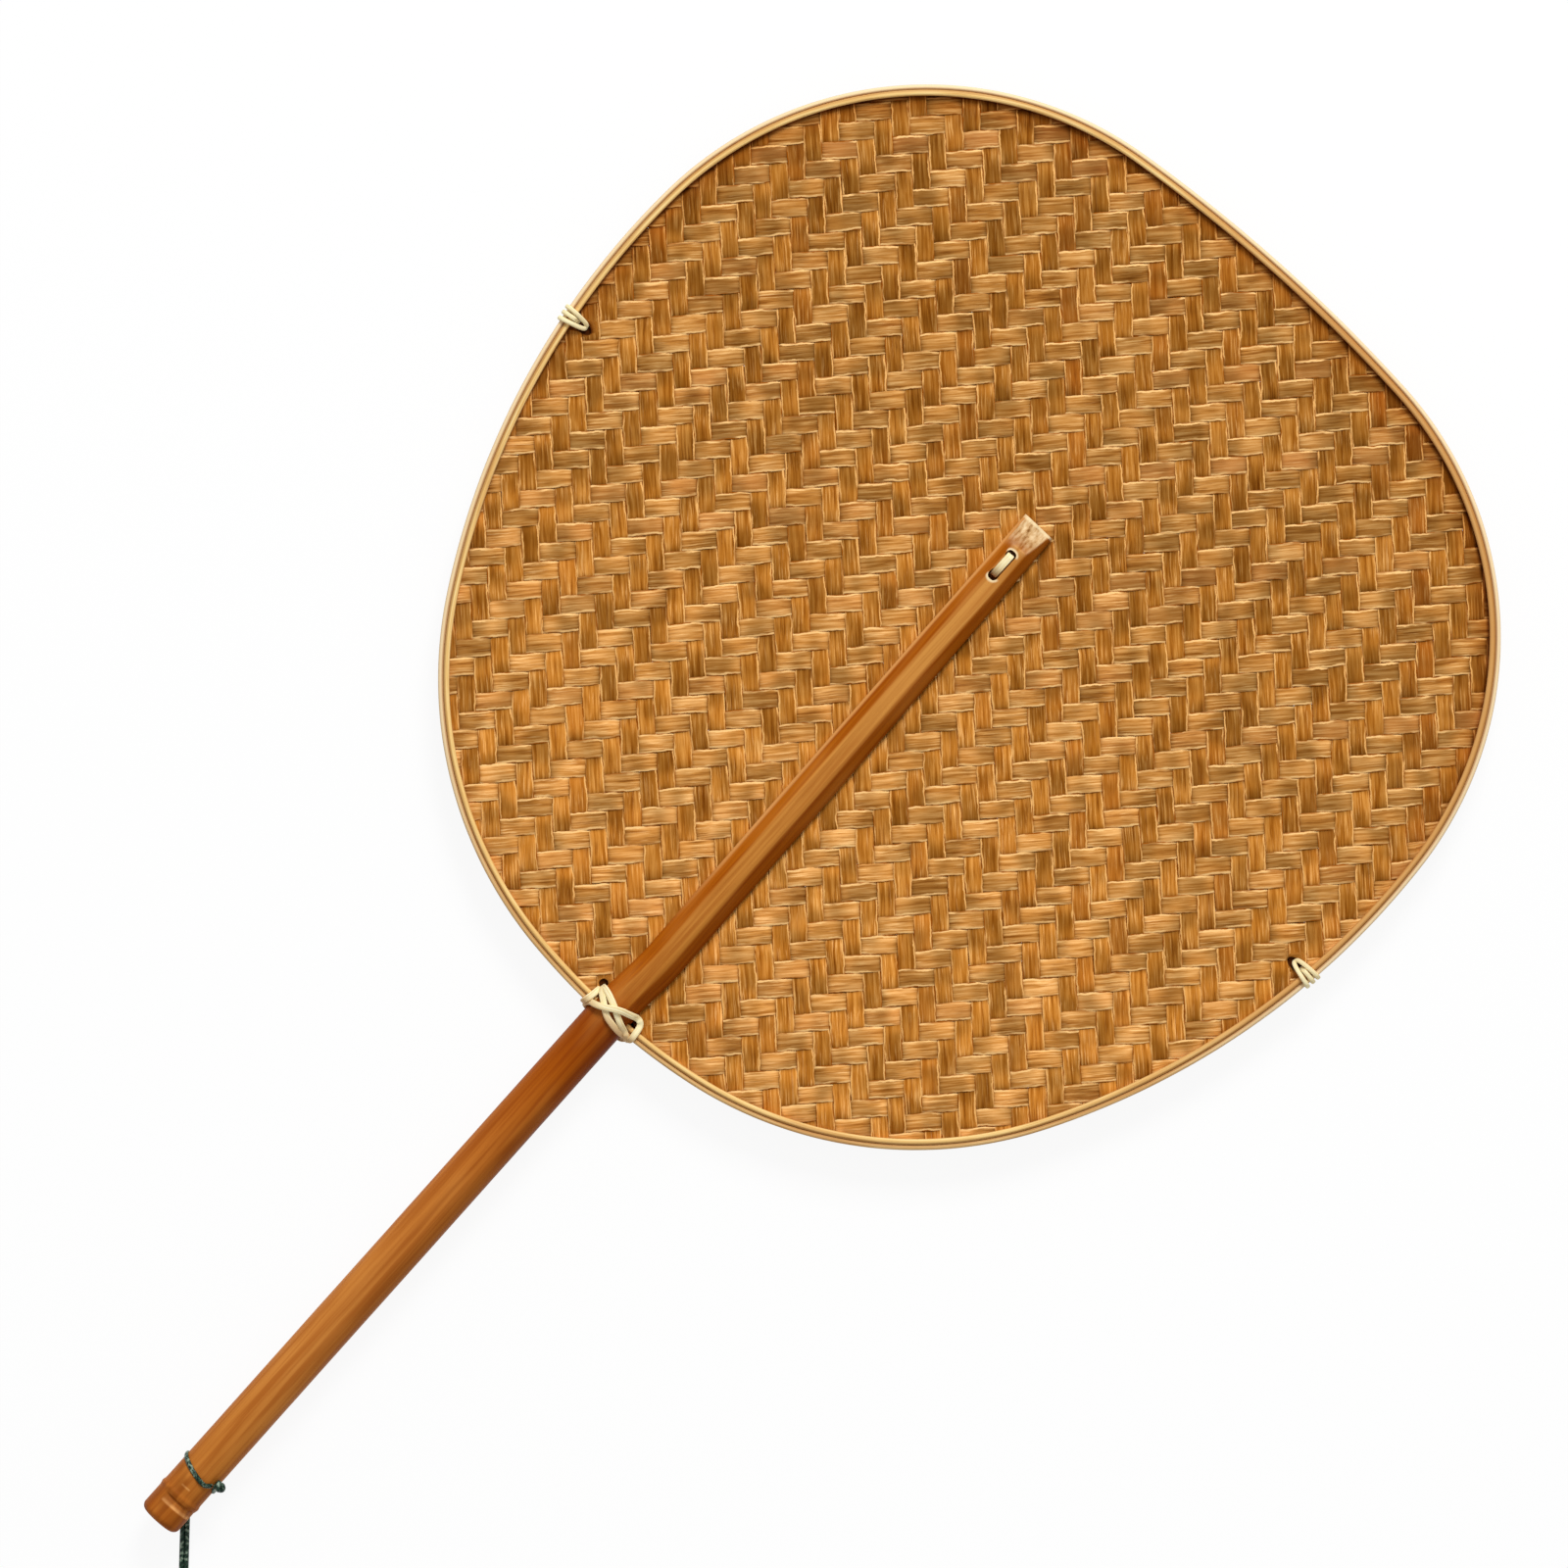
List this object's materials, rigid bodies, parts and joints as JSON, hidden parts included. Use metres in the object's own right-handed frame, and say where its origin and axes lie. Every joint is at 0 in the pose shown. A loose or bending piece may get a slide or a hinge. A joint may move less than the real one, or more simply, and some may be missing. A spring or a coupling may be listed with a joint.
{
  "type": "hand fan",
  "caption": "Flat woven hand fan on a split round rod: a stiff twill panel clamped by a bent rim, lashed at neck, sides and tip, with a cord loop tied round the butt.",
  "frame": {"origin": "middle of the fan's outline on the table that it lies on, front up, without its cord", "axes": "+Y up the handle to the blade's crown, +X to the right seen from the front, +Z away from the table to the front"},
  "size_m": [0.2766, 0.5193, 0.018],
  "materials": {
    "handle_bamboo": "oiled bamboo, satin",
    "woven_bamboo": "split bamboo strips, satin",
    "hoop_bamboo": "pale split bamboo, satin",
    "rattan": "peeled rattan, matt",
    "cord": "dark green braided cord"
  },
  "bodies": {
    "root": {"handle": "handle_bamboo", "woven_panel": "woven_bamboo", "rim_outer_band": "hoop_bamboo", "rim_front_strip": "hoop_bamboo", "rim_back_strip": "hoop_bamboo", "neck_lashing": "rattan", "left_lashing": "rattan", "right_lashing": "rattan", "tip_tie": "rattan", "cord_collar": "cord", "cord_knot": "cord", "cord_loop": "cord"}
  },
  "joints": []
}
